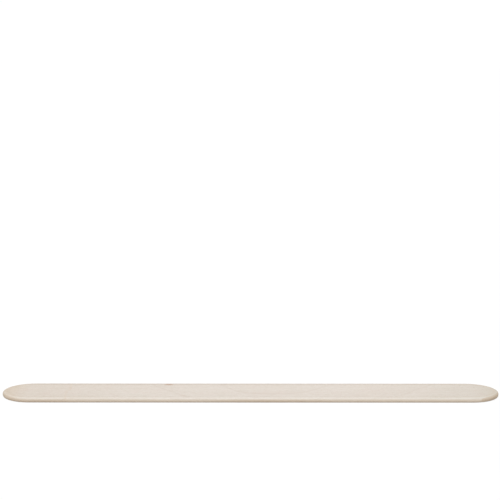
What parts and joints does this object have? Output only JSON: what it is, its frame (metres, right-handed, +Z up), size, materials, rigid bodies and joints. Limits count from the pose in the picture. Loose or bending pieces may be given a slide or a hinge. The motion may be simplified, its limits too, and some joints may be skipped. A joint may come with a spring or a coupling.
{
  "type": "tongue depressor",
  "caption": "Flat wooden tongue depressor blade with full-round ends and a smooth eased edge all round.",
  "frame": {"origin": "middle of the flat underside that the blade lies on", "axes": "+X along the blade's length towards one round end, +Y across its width, +Z up through its thickness"},
  "size_m": [0.15, 0.018, 0.0016],
  "materials": {
    "birch": "matte"
  },
  "bodies": {
    "root": {"blade": "birch"}
  },
  "joints": []
}
